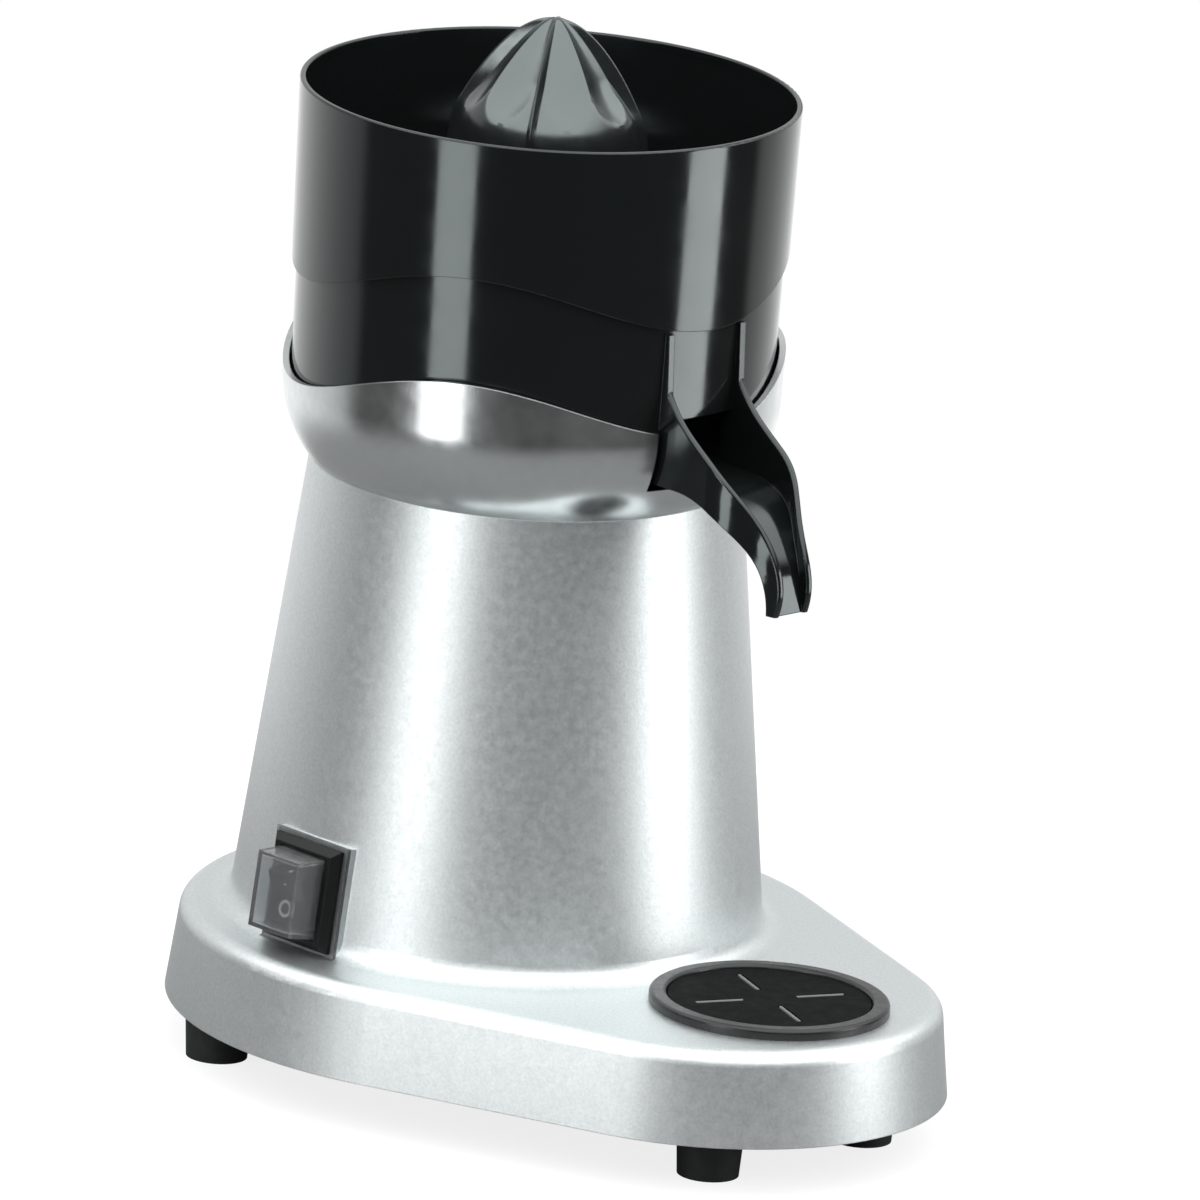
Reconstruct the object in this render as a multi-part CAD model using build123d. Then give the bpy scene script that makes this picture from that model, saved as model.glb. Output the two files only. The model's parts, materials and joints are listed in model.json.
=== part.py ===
from build123d import *
import os
from math import asin, atan, cos, degrees, hypot, pi, radians, sin, sqrt

# Electric citrus press in millimetres, +Z up, spout and drip tray towards -Y.
# Sub-parts are drawn about the motor axis.
# The origin is on the table, under the middle of the foot's outline.

# Foot and column casting
foot_length = 255.0
foot_back_radius = 100.0
foot_front_radius = 69.5
foot_clearance = 15.0
foot_thickness = 27.8
foot_draft = 3.3
foot_edge_radius = 4.8
column_setback = 6.5
column_margin = 21.6
column_top_radius = 63.2
column_height = 135.2
column_root_radius = 6.2
casting_wall = 4.0
top_plate = 6.0
spigot_step = 2.2
plate_bore_radius = 13.2
boss_radius = 9.0
screw_engage = 10.0

# Rubber feet and bottom cover
rubber_top_radius = 10.0
rubber_foot_radius = 9.0
rubber_recess_radius = 5.0
rubber_recess_depth = 7.0
back_foot_inset = 13.8
back_foot_turn = 60.5
front_foot_inset = 24.2
front_foot_turn = 43.2
cover_sheet = 1.5
cover_margin = 0.4
vent_length = 22.0
vent_width = 2.4
vent_count = 5
vent_pitch = 6.0
vent_y = 10.0

# Screws, one set of sizes for the whole part
screw_radius = 2.0
screw_head_radius = 3.5
screw_head_height = 2.6
hole_clearance = 0.15
fit_clearance = 0.02
running_clearance = 0.05
slip_clearance = 0.3
overrun = 2.0

# Drip tray and grid
tray_offset = 22.5
tray_ring_radius = 35.0
tray_ring_height = 3.2
tray_cup_radius = 31.2
tray_mouth_radius = 29.9
tray_drop = 11.4
tray_floor = 1.8
tray_ledge = 1.4
tray_edge_radius = 1.2
grid_rise = 2.2
grid_sheet = 2.2
grid_slot_inner = 8.5
grid_slot_outer = 23.0
grid_slot_width = 2.2
grid_slot_count = 4
grid_turn = -22.0
pocket_wall = 3.2

# Collar that seats the bowl
collar_play = 3.0
collar_lip_wall = 1.9
collar_lip_flare = 0.5
collar_waist_rise = 26.0
collar_flare_share = 0.579
collar_flare_rise = 8.5
collar_floor = 4.0
collar_floor_step = 2.0
collar_eye_radius = 31.0
collar_top_mean = 33.5
collar_reserve = 12.0
collar_inner_rise = 14.0
collar_inner_share = 0.33
collar_inner_run = 8.095
collar_screw_inset = 8.0
collar_screw_count = 3
collar_screw_turn = 90.0
notch_half_width = 17.2
wave_amplitude = 7.5
wave_count = 3
wave_points = 24

# Bowl and its spout
bowl_lift = 2.0
bowl_height = 100.4
bowl_corner_run = 11.2
bowl_flare = 1.0
bowl_skirt_step = 1.6
bowl_rim_step = 1.8
bowl_wall = 2.4
bowl_floor = 2.8
bowl_foot_radius = 59.0
bowl_corner_rise = 11.0
bowl_step_rise = 31.0
bowl_step_reach = 6.0
bowl_ledge_rise = 32.0
bowl_ledge = 1.2
bowl_rim_wall = 1.6
bowl_rim_edge = 0.6
sleeve_play = 2.3
sleeve_wall = 2.2
sleeve_height = 42.0
sleeve_flange = 1.6
sleeve_lip = 3.0
spout_overlap = 1.6
spout_reach = 45.0
spout_top = 45.0
spout_drop = 75.4
spout_half_width = 15.4
spout_tip_half_width = 6.8
spout_wall = 2.2
spout_edge_radius = 0.8
spout_taper_start_share = 0.46
spout_rim_shares = ((0.04, 0.0), (0.06, 0.22), (0.18, 0.315), (0.55, 0.48), (0.86, 0.70),
                    (0.99, 0.87), (0.97, 1.0))
spout_keel_shares = ((0.90, 1.0), (0.88, 0.91), (0.80, 0.80), (0.66, 0.705), (0.42, 0.62),
                     (0.16, 0.595))
outlet_height = 16.0
outlet_reach = 12.0

# Strainer
strainer_sheet = 1.6
strainer_eye_play = 2.0
strainer_eye_wall = 1.6
strainer_eye_height = 5.0
strainer_eye_land = 4.4
strainer_rim_land = 7.5
strainer_slot_width = 2.2
strainer_slot_count = 40

# Reamer
reamer_rise = 35.8
reamer_height = 54.0
reamer_radius = 38.5
reamer_skirt_height = 6.5
reamer_skirt_radius = 39.5
reamer_turn = -56.0
fin_count = 4
fin_half_width = 3.6
fin_thinning_share = 0.25
fin_floor_share = 0.86
ridge_share = 0.93
ridge_loss_share = 0.12
flute_share = 0.82
rib_sections_share = (0.004, 0.035, 0.11, 0.26, 0.55, 1.0)
reamer_wall = 3.0
hub_radius = 23.0
hub_wall = 2.5
hub_drop = 32.0
socket_wall = 4.0
insert_radius = 9.0
insert_height = 22.0
insert_drop = 16.0
insert_roof = 2.0

# Drive line
shaft_radius = 5.0
shaft_tip_gap = 1.0
shaft_tail = 2.0
pin_radius = 2.0
pin_short = 0.4
pin_seat = 3.0
pin_play = 0.2

# Motor
motor_room = 9.2
shield_disc = 7.0
shield_skirt_wall = 8.0
winding_height = 11.0
winding_room = 2.0
winding_width = 11.0
winding_round = 3.0
stator_height = 42.0
stator_bore_step = 2.0
air_gap = 0.4
bearing_radius = 13.0
bearing_width = 8.0
bearing_groove = 0.8
bearing_land = 2.4
tie_inset = 4.0
tie_count = 4
motor_screw_circle = 22.0
motor_screw_turn = 45.0
fan_height = 11.0
fan_hub_radius = 10.0
fan_inset = 6.0
fan_blade = 1.6
fan_blade_count = 9
fan_disc = 1.8
fan_gap = 3.0
seal_radius = 9.0
seal_height = 5.0
seal_cover = 1.0
holder_play = 1.0
holder_height = 5.6

# Electrics
capacitor_radius = 16.0
capacitor_height = 48.0
capacitor_room = 10.3
capacitor_turn = 45.0
capacitor_crimp = 1.2
clip_sheet = 1.2
clip_height = 10.0
clip_gap_half = 5.0
terminal_length = 34.0
terminal_width = 18.0
terminal_height = 15.0
terminal_step = 5.0
terminal_x = 30.0
terminal_y = -22.0
terminal_pole_count = 3
terminal_hole_radius = 2.2
gland_rise = 20.0
gland_pad_radius = 14.0
gland_pad_proud = 1.45
gland_pad_depth = 8.6
gland_thread_radius = 7.6
gland_bore_radius = 3.8
gland_collar = 5.0
gland_dome = 7.0
gland_hex_radius = 11.0
gland_nut_height = 5.0
gland_tail = 14.0
earth_radius = 2.0
earth_length = 12.0
earth_nut_radius = 4.2
earth_nut_height = 3.0
earth_x = 45.0
earth_y = -75.0
earth_bite = 2.5

# Switch, drawn with its outward direction along its own +Z
switch_rise = 16.6
switch_flange_side = 1.5
switch_flange_end = 1.25
switch_gasket = 1.2
switch_pad = 0.6
bezel_width = 27.0
bezel_height = 30.5
bezel_depth = 3.4
bezel_bevel = 2.0
bezel_side = 4.0
bezel_end = 2.95
body_side = 2.7
body_end = 1.45
body_depth = 26.0
body_gap = 0.2
blade_width = 6.3
blade_thickness = 0.8
blade_length = 9.0
blade_spacing = 7.0
cap_wall = 1.0
cap_height = 9.4
cap_taper = 4.0
cap_play = 0.2
well_end = 3.4
well_side = 3.5
well_depth = 8.0
key_side_room = 0.8
key_end_room = 1.8
key_height = 10.4
key_root = 3.4
key_lead = 1.2
key_dish = 2.0
key_pivot = 2.0
key_tilt = 9.0
key_axle_radius = 1.5
key_axle_reach = 2.1

# Widths that follow from the sizes above
column_foot_radius = foot_back_radius - column_margin
spigot_radius = column_top_radius - spigot_step
bowl_wall_radius = bowl_foot_radius + bowl_corner_run
bowl_wall_rim_radius = bowl_wall_radius + bowl_flare
bowl_skirt_radius = bowl_wall_radius + bowl_skirt_step
bowl_rim_radius = bowl_wall_rim_radius + bowl_rim_step
spout_root = bowl_wall_radius - spout_overlap
collar_lip_radius = bowl_wall_radius + collar_play
collar_waist_radius = collar_lip_radius - collar_lip_flare
collar_flare_radius = column_top_radius + collar_flare_share * (collar_waist_radius - column_top_radius)
collar_floor_radius = bowl_foot_radius + collar_floor_step
collar_screw_circle = spigot_radius - collar_screw_inset
strainer_radius = bowl_wall_radius - bowl_wall - slip_clearance
strainer_eye_radius = hub_radius + strainer_eye_play
strainer_slot_inner = strainer_eye_radius + strainer_eye_wall + strainer_eye_land
strainer_slot_outer = strainer_radius - strainer_rim_land
sleeve_outer_radius = hub_radius - hub_wall - sleeve_play
sleeve_radius = sleeve_outer_radius - sleeve_wall
holder_radius = sleeve_radius - holder_play
socket_boss_radius = insert_radius + socket_wall
pin_half_length = insert_radius - pin_short
shield_radius = column_top_radius - casting_wall - motor_room
winding_outer_radius = shield_radius - shield_skirt_wall - winding_room
winding_inner_radius = winding_outer_radius - winding_width
stator_bore_radius = winding_inner_radius - stator_bore_step
tie_circle = shield_radius - tie_inset
fan_radius = shield_radius - fan_inset
switch_flange_width = bezel_width + 2 * switch_flange_side
switch_flange_height = bezel_height + 2 * switch_flange_end
window_width = bezel_width - 2 * bezel_side
window_height = bezel_height - 2 * bezel_end
body_width = bezel_width - 2 * body_side
body_height = bezel_height - 2 * body_end
cap_width = window_width - 2 * cap_play
cap_length = window_height - 2 * cap_play
well_width = body_width - 2 * well_side
well_length = body_height - 2 * well_end
key_width = well_width - 2 * key_side_room
key_length = well_length - 2 * key_end_room
key_axle_half = key_width / 2 + key_axle_reach

# Heights that follow from the sizes above
foot_top = foot_clearance + foot_thickness
shoulder = foot_top + column_height
plate_top = shoulder + top_plate
seat_top = plate_top + collar_floor
bowl_base = seat_top + bowl_lift
bowl_top = bowl_base + bowl_height
collar_mean = shoulder + collar_top_mean
step_mean = collar_mean + bowl_step_rise
ledge_top = bowl_base + bowl_ledge_rise
reamer_base = ledge_top + reamer_rise
reamer_apex = reamer_base + reamer_height
insert_base = reamer_base - insert_drop
shaft_top = insert_base + insert_height - insert_roof - shaft_tip_gap
upper_winding = shoulder - shield_disc
stator_top = upper_winding - winding_height
stator_base = stator_top - stator_height
lower_shield = stator_base - winding_height
fan_top = lower_shield - shield_disc - fan_gap
shaft_foot = fan_top - fan_height - shaft_tail
seal_base = plate_top + holder_height - seal_cover - seal_height

# Places that follow from the sizes above; y is measured from the motor axis
back_centre_y = -column_setback
column_y = foot_length / 2 - foot_back_radius + column_setback
front_centre_y = foot_front_radius - foot_length / 2 - column_y
tray_y = front_centre_y - tray_offset
column_slope = (column_foot_radius - column_top_radius) / column_height
switch_z = foot_top + switch_rise
switch_reach = column_foot_radius - column_slope * switch_rise
gland_z = foot_top + gland_rise
gland_pad_reach = column_foot_radius - column_slope * gland_rise + gland_pad_proud
gland_pad_root = gland_pad_reach - gland_pad_depth
capacitor_reach = column_foot_radius - casting_wall - capacitor_radius - capacitor_room
capacitor_x = capacitor_reach * cos(radians(capacitor_turn))
capacitor_y = capacitor_reach * sin(radians(capacitor_turn))
back_foot_x = (foot_back_radius - back_foot_inset) * sin(radians(back_foot_turn))
back_foot_y = back_centre_y + (foot_back_radius - back_foot_inset) * cos(radians(back_foot_turn))
front_foot_x = (foot_front_radius - front_foot_inset) * sin(radians(front_foot_turn))
front_foot_y = front_centre_y - (foot_front_radius - front_foot_inset) * cos(radians(front_foot_turn))
feet = {
    "foot_back_left": (-back_foot_x, back_foot_y),
    "foot_back_right": (back_foot_x, back_foot_y),
    "foot_front_left": (-front_foot_x, front_foot_y),
    "foot_front_right": (front_foot_x, front_foot_y),
}


# Shared shapes

upright = (Align.CENTER, Align.CENTER, Align.MIN)


def rod(radius, low, high, x=0, y=0):
    return Pos(x, y, low) * Cylinder(radius, high - low, align=upright)


def ring(outer, inner, low, high, x=0, y=0):
    return rod(outer, low, high, x, y) - rod(inner, low - overrun, high + overrun, x, y)


def block(width, depth, low, high, x=0, y=0):
    return Pos(x, y, low) * Box(width, depth, high - low, align=upright)


def turned(*edges):
    return revolve(Plane.XZ * make_face(Curve() + list(edges)), Axis.Z)


def turned_polygon(*points):
    return revolve(Plane.XZ * make_face(Polyline(*points, close=True)), Axis.Z)


def polar(shape, count, first=0):
    return [Rot(0, 0, first + 360 * i / count) * shape for i in range(count)]


def group(shapes):
    return Compound([shape.solid() for shape in shapes])


def screw(low, high, x=0, y=0, head_up=False):
    head_low = high - screw_head_height if head_up else low
    head = rod(screw_head_radius, head_low, head_low + screw_head_height, x, y)
    return rod(screw_radius, low, high, x, y) + head


def wave_edge(radius, mean):
    points = []
    for i in range(wave_points):
        angle = 2 * pi * i / wave_points
        height = mean - wave_amplitude * cos(wave_count * angle)
        points.append((radius * sin(angle), -radius * cos(angle), height))
    return Spline(*points, periodic=True).edge()


def wave_cutter(inner, outer, mean, travel):
    face = Face.make_surface_from_curves(wave_edge(inner, mean), wave_edge(outer, mean))
    return Solid.extrude(face, Vector(0, 0, travel))


# Foot and column casting

def foot_outline(inset):
    back = foot_back_radius - inset
    front = foot_front_radius - inset
    lean = asin((back - front) / (back_centre_y - front_centre_y))
    side_back = (back * cos(lean), back_centre_y - back * sin(lean))
    side_front = (front * cos(lean), front_centre_y - front * sin(lean))
    mirror_back = (-side_back[0], side_back[1])
    mirror_front = (-side_front[0], side_front[1])
    return make_face(Curve() + [
        ThreePointArc(side_back, (0, back_centre_y + back), mirror_back),
        Line(mirror_back, mirror_front),
        ThreePointArc(mirror_front, (0, front_centre_y - front), side_front),
        Line(side_front, side_back),
    ])


def foot_prism(inset, low, high):
    taper = degrees(atan(foot_draft / foot_thickness))
    return Pos(0, 0, low) * extrude(foot_outline(inset), high - low, taper=taper)


def casting_shell():
    foot = foot_prism(0, foot_clearance, foot_top)
    foot = fillet(foot.faces().sort_by(Axis.Z)[-1].edges(), foot_edge_radius)
    low = foot_top - overrun
    low_radius = column_foot_radius + column_slope * overrun
    column = turned_polygon((0, low), (low_radius, low), (column_top_radius, shoulder), (0, shoulder))
    body = foot + column
    root = body.edges().filter_by(GeomType.CIRCLE).group_by(lambda e: abs(e.center().Z - foot_top))[0]
    root = root.filter_by(lambda e: abs(e.radius - column_foot_radius) < overrun)
    return fillet(root, column_root_radius)


def casting_cavity():
    roof = foot_top - casting_wall
    inner_foot = column_foot_radius - casting_wall
    hollow = foot_prism(casting_wall, foot_clearance, roof)
    bore = turned_polygon((0, roof - overrun), (inner_foot, roof - overrun),
                          (column_top_radius - casting_wall, shoulder), (0, shoulder))
    return hollow + bore


def switch_frame():
    lean = degrees(atan(column_slope))
    return Pos(-switch_reach, 0, switch_z) * Rot(0, -90 + lean, 0)


def body_casting():
    body = casting_shell() - casting_cavity()
    cover_top = foot_clearance + cover_sheet
    roof = foot_top - casting_wall / 2
    pocket_base = foot_top - tray_drop
    body += rod(tray_cup_radius + slip_clearance + pocket_wall, pocket_base - pocket_wall, roof, 0, tray_y)
    for x, y in feet.values():
        body += rod(boss_radius, cover_top, roof, x, y)
    body += Pos(0, 0, gland_z) * Rot(-90, 0, 0) * rod(gland_pad_radius, gland_pad_root, gland_pad_reach)
    pad = block(switch_flange_height, switch_flange_width, -casting_wall - switch_pad, switch_pad)
    body += switch_frame() * pad
    relief = block(switch_flange_height + 2 * slip_clearance, switch_flange_width + 2 * slip_clearance,
                   switch_pad, switch_pad + body_depth)
    body -= switch_frame() * relief
    body += rod(spigot_radius, shoulder, plate_top)
    body -= rod(tray_cup_radius + slip_clearance, pocket_base, foot_top + overrun, 0, tray_y)
    ring_top = foot_top + tray_ring_height
    body -= rod(tray_ring_radius + slip_clearance, foot_top, ring_top + overrun, 0, tray_y)
    for x, y in feet.values():
        body -= rod(screw_radius + hole_clearance, cover_top - overrun, cover_top + screw_engage, x, y)
    body -= Pos(0, 0, gland_z) * Rot(-90, 0, 0) * rod(
        gland_thread_radius + hole_clearance, gland_pad_root - overrun, gland_pad_reach + overrun)
    body -= switch_frame() * block(body_height + 2 * body_gap, body_width + 2 * body_gap, -body_depth,
                                   switch_pad + overrun)
    body -= rod(plate_bore_radius, shoulder - overrun, plate_top + overrun)
    plate_hole = rod(screw_radius + hole_clearance, shoulder - overrun, plate_top + overrun)
    body -= polar(Pos(motor_screw_circle, 0, 0) * plate_hole, tie_count, motor_screw_turn)
    body -= polar(Pos(collar_screw_circle, 0, 0) * plate_hole, collar_screw_count, collar_screw_turn)
    body -= rod(earth_radius + fit_clearance, foot_top - casting_wall - overrun,
                foot_top - casting_wall + earth_bite, earth_x, earth_y)
    return body


def bottom_cover():
    inset = casting_wall + cover_margin + foot_draft * cover_sheet / foot_thickness
    top = foot_clearance + cover_sheet
    plate = Pos(0, 0, foot_clearance) * extrude(foot_outline(inset), cover_sheet)
    for x, y in feet.values():
        plate -= rod(screw_radius + hole_clearance, foot_clearance - overrun, top + overrun, x, y)
    slot = extrude(SlotOverall(vent_length, vent_width), cover_sheet + 2 * overrun)
    for i in range(vent_count):
        plate -= Pos(0, vent_y + i * vent_pitch, foot_clearance - overrun) * slot
    return plate


def rubber_foot(x, y):
    top = (rubber_top_radius, foot_clearance)
    body = turned_polygon((0, 0), (rubber_foot_radius, 0), top, (0, foot_clearance))
    body -= rod(rubber_recess_radius, -overrun, rubber_recess_depth)
    return Pos(x, y, 0) * (body - rod(screw_radius + hole_clearance, 0, foot_clearance + overrun))


def foot_screws():
    low = rubber_recess_depth - screw_head_height
    high = foot_clearance + cover_sheet + screw_engage - slip_clearance
    return group(screw(low, high, x, y) for x, y in feet.values())


# Drip tray

def drip_tray():
    base = foot_top - tray_drop + fit_clearance
    ring_top = foot_top + tray_ring_height
    ledge = foot_top + grid_rise - grid_sheet
    flange = ring(tray_ring_radius, tray_mouth_radius, foot_top, ring_top)
    flange = fillet(flange.faces().sort_by(Axis.Z)[-1].edges(), tray_edge_radius)
    cup = rod(tray_cup_radius, base, foot_top)
    cup -= rod(tray_mouth_radius, ledge, foot_top + overrun)
    cup -= rod(tray_mouth_radius - tray_ledge, base + tray_floor, foot_top)
    return Pos(0, tray_y, 0) * (cup + flange)


def drip_grid():
    top = foot_top + grid_rise
    disc = rod(tray_mouth_radius - slip_clearance, top - grid_sheet, top)
    middle = (grid_slot_outer + grid_slot_inner) / 2
    length = grid_slot_outer - grid_slot_inner
    slot = block(length, grid_slot_width, top - grid_sheet - overrun, top + overrun, middle)
    disc -= polar(slot, grid_slot_count, grid_turn)
    return Pos(0, tray_y, 0) * disc


# Bowl seat

def bowl_collar():
    top = collar_mean + collar_reserve
    outer_low = (column_top_radius, shoulder)
    outer_mid = (collar_flare_radius, shoulder + collar_flare_rise)
    waist = (collar_waist_radius, shoulder + collar_waist_rise)
    inner_waist = (collar_waist_radius - collar_lip_wall, seat_top + collar_inner_rise)
    inner_low = (collar_floor_radius, seat_top)
    inner_mid = (bowl_foot_radius + collar_inner_run, seat_top + collar_inner_share * collar_inner_rise)
    lip_inner = (collar_lip_radius - collar_lip_wall, top)
    spigot = spigot_radius + hole_clearance
    body = turned(
        Line((spigot, shoulder), outer_low),
        ThreePointArc(outer_low, outer_mid, waist),
        Polyline(waist, (collar_lip_radius, top), lip_inner, inner_waist),
        ThreePointArc(inner_waist, inner_mid, inner_low),
        Polyline(inner_low, (collar_eye_radius, seat_top), (collar_eye_radius, plate_top),
                 (spigot, plate_top), (spigot, shoulder)),
    )
    travel = collar_reserve + 2 * wave_amplitude + overrun
    outer = collar_lip_radius + 2 * overrun
    body -= wave_cutter(collar_floor_radius, outer, collar_mean, travel)
    body -= block(2 * notch_half_width, collar_lip_radius, seat_top, top + overrun, 0, -collar_lip_radius)
    hole = rod(screw_radius + hole_clearance, plate_top - overrun, seat_top + overrun)
    hole += rod(screw_head_radius + slip_clearance, seat_top - screw_head_height, seat_top + overrun)
    return body - polar(Pos(collar_screw_circle, 0, 0) * hole, collar_screw_count, collar_screw_turn)


def collar_screws():
    one = screw(shoulder + slip_clearance, seat_top, collar_screw_circle, head_up=True)
    return group(polar(one, collar_screw_count, collar_screw_turn))


def bowl_gasket():
    middle = (collar_screw_circle + collar_eye_radius) / 2
    half = sleeve_wall
    return ring(middle + half, middle - half, seat_top, bowl_base - running_clearance)


# Bowl

def bowl_hollow():
    inner_low = bowl_wall_radius - bowl_wall
    inner_rim = bowl_rim_radius - bowl_rim_wall
    sky = bowl_top + overrun
    floor = bowl_base + bowl_floor
    corner = bowl_base + bowl_corner_rise
    middle = (bowl_foot_radius + (inner_low - bowl_foot_radius) * sin(radians(45)),
              corner - (corner - floor) * cos(radians(45)))
    return turned(
        Line((0, floor), (bowl_foot_radius, floor)),
        ThreePointArc((bowl_foot_radius, floor), middle, (inner_low - bowl_ledge, corner)),
        Polyline((inner_low - bowl_ledge, corner), (inner_low - bowl_ledge, ledge_top),
                 (inner_low, ledge_top), (inner_rim, sky), (0, sky), (0, floor)),
    )


def bowl_outside():
    corner = bowl_base + bowl_corner_rise
    middle = (bowl_foot_radius + (bowl_wall_radius - bowl_foot_radius) * sin(radians(45)),
              corner - bowl_corner_rise * cos(radians(45)))
    return turned(
        Line((0, bowl_base), (bowl_foot_radius, bowl_base)),
        ThreePointArc((bowl_foot_radius, bowl_base), middle, (bowl_wall_radius, corner)),
        Polyline((bowl_wall_radius, corner), (bowl_wall_rim_radius, bowl_top), (0, bowl_top),
                 (0, bowl_base)),
    )


def bowl_skirt():
    low = step_mean - 2 * wave_amplitude
    inner = bowl_wall_radius - bowl_step_reach
    outer = bowl_wall_radius + bowl_step_reach
    skirt = turned_polygon((0, low), (bowl_skirt_radius, low), (bowl_rim_radius, bowl_top), (0, bowl_top))
    skirt -= wave_cutter(inner, outer, step_mean, -spout_drop)
    return skirt - rod(inner + overrun, low - overrun, step_mean + wave_amplitude)


def spout_point(share):
    out, down = share
    return (spout_root + out * spout_reach, bowl_base + spout_top - down * spout_drop)


def spout_floor():
    keel = [spout_point(share) for share in spout_keel_shares]
    points = []
    for i, (x, z) in enumerate(keel):
        before = keel[max(i - 1, 0)]
        after = keel[min(i + 1, len(keel) - 1)]
        along = after[0] - before[0]
        rise = after[1] - before[1]
        run = hypot(along, rise)
        points.append((x + spout_wall * rise / run, z - spout_wall * along / run))
    return points


def spout_side(*edges):
    sheet = Plane((0, 0, 0), x_dir=(0, -1, 0), z_dir=(-1, 0, 0)) * make_face(Curve() + list(edges))
    return extrude(sheet, spout_half_width + overrun, both=True)


def spout_plan(inset):
    half = spout_half_width - inset
    tip = spout_tip_half_width - inset
    root_y = outlet_reach - bowl_foot_radius
    bend_y = -(spout_root + spout_taper_start_share * spout_reach)
    tip_y = -(spout_root + spout_reach)
    end_y = tip_y - overrun
    down = ((0, -1), (0, -1))
    sheet = make_face(Curve() + [
        Polyline((-half, bend_y), (-half, root_y), (half, root_y), (half, bend_y)),
        Spline((half, bend_y), (tip, tip_y), tangents=down),
        Polyline((tip, tip_y), (tip, end_y), (-tip, end_y), (-tip, tip_y)),
        Spline((-half, bend_y), (-tip, tip_y), tangents=down),
    ])
    low = bowl_base + spout_top - spout_drop - overrun
    return Pos(0, 0, low) * extrude(sheet, spout_drop + 2 * overrun)


def spout():
    rim = [spout_point(share) for share in spout_rim_shares]
    keel = [spout_point(share) for share in spout_keel_shares]
    floor = spout_floor()
    root_top = (spout_root, rim[0][1])
    root_low = (bowl_foot_radius, bowl_base)
    outer = spout_side(Polyline(root_low, root_top, rim[0], rim[1]), Spline(*rim[1:]),
                       Line(rim[-1], keel[0]), Spline(*keel), Line(keel[-1], root_low))
    far = spout_root + spout_reach + 2 * overrun
    sky = root_top[1] + overrun
    low = keel[0][1] - overrun
    inner_root = bowl_foot_radius - outlet_reach
    round_air = Polyline(floor[-1], (inner_root, floor[-1][1]), (inner_root, sky), (far, sky), (far, low),
                         (floor[0][0], low), floor[0])
    channel = spout_side(Spline(*floor), round_air)
    body = (outer & spout_plan(0)) - (channel & spout_plan(spout_wall))
    rims = body.faces().filter_by(GeomType.EXTRUSION).sort_by(SortBy.AREA)[:2]
    long_edges = rims.edges().filter_by(lambda e: e.length > 2 * spout_wall)
    return fillet(long_edges, spout_edge_radius)


def bowl_outlet():
    floor = bowl_base + bowl_floor
    reach = bowl_wall_radius - bowl_foot_radius + outlet_reach
    return block(2 * (spout_half_width - spout_wall), reach, floor, floor + outlet_height, 0,
                 -bowl_wall_radius + reach / 2 - spout_wall)


def bowl():
    body = bowl_outside() + bowl_skirt() + spout()
    body -= bowl_hollow()
    body -= rod(sleeve_outer_radius + fit_clearance, bowl_base - overrun, bowl_base + bowl_floor + overrun)
    body -= bowl_outlet()
    return fillet(body.faces().sort_by(Axis.Z)[-1].edges(), bowl_rim_edge)


def bowl_sleeve():
    low = bowl_base - sleeve_flange
    top = bowl_base + sleeve_height
    body = rod(sleeve_outer_radius, low, top) + rod(sleeve_outer_radius + sleeve_lip, low, bowl_base)
    return body - rod(sleeve_radius, low - overrun, top + overrun)


def strainer():
    top = ledge_top + strainer_sheet
    plate = rod(strainer_radius, ledge_top, top)
    plate += rod(strainer_eye_radius + strainer_eye_wall, ledge_top, ledge_top + strainer_eye_height)
    plate -= rod(strainer_eye_radius, ledge_top - overrun, ledge_top + strainer_eye_height + overrun)
    middle = (strainer_slot_outer + strainer_slot_inner) / 2
    length = strainer_slot_outer - strainer_slot_inner
    slot = block(length, strainer_slot_width, ledge_top - overrun, top + overrun, middle)
    return plate - polar(slot, strainer_slot_count)


# Reamer

def spot(radius, turn):
    return (radius * sin(radians(turn)), -radius * cos(radians(turn)))


def star_section(share):
    crest = reamer_radius * sqrt(share)
    floor = fin_floor_share * crest
    flute = flute_share * crest
    ridge = crest * (ridge_share - ridge_loss_share * (1 - share) ** 3)
    lean = degrees(asin(fin_half_width * share ** fin_thinning_share / floor))
    quarter = 360 / fin_count
    inset = (lean + quarter / 2) / 2
    edges = []
    for i in range(fin_count):
        fin = reamer_turn + i * quarter
        after = reamer_turn + (i + 1) % fin_count * quarter
        root = spot(floor, fin + lean)
        middle = spot(ridge, fin + quarter / 2)
        end = spot(floor, after - lean)
        edges.append(Line(spot(crest, fin), root))
        edges.append(ThreePointArc(root, spot(flute, fin + inset), middle))
        edges.append(ThreePointArc(middle, spot(flute, after - inset), end))
        edges.append(Line(end, spot(crest, after)))
    return Pos(0, 0, reamer_apex - share * reamer_height) * make_face(Curve() + edges)


def reamer():
    skirt_low = reamer_base - reamer_skirt_height
    inner_hub = hub_radius - hub_wall
    body = loft([star_section(share) for share in rib_sections_share])
    body += rod(reamer_skirt_radius, skirt_low, reamer_base)
    body += rod(hub_radius, insert_base, reamer_base)
    inner_skirt = reamer_skirt_radius - reamer_wall
    inner_cone = flute_share * reamer_radius - reamer_wall
    body -= turned_polygon((hub_radius, skirt_low - overrun), (inner_skirt, skirt_low - overrun),
                           (inner_skirt, reamer_base - reamer_wall), (inner_cone, reamer_base),
                           (hub_radius, reamer_base + reamer_skirt_height))
    body -= ring(inner_hub, socket_boss_radius, insert_base, reamer_base - reamer_wall)
    return body - rod(insert_radius + fit_clearance, insert_base - overrun, insert_base + insert_height)


def reamer_hub():
    return ring(hub_radius, hub_radius - hub_wall, reamer_base - hub_drop, insert_base)


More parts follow.
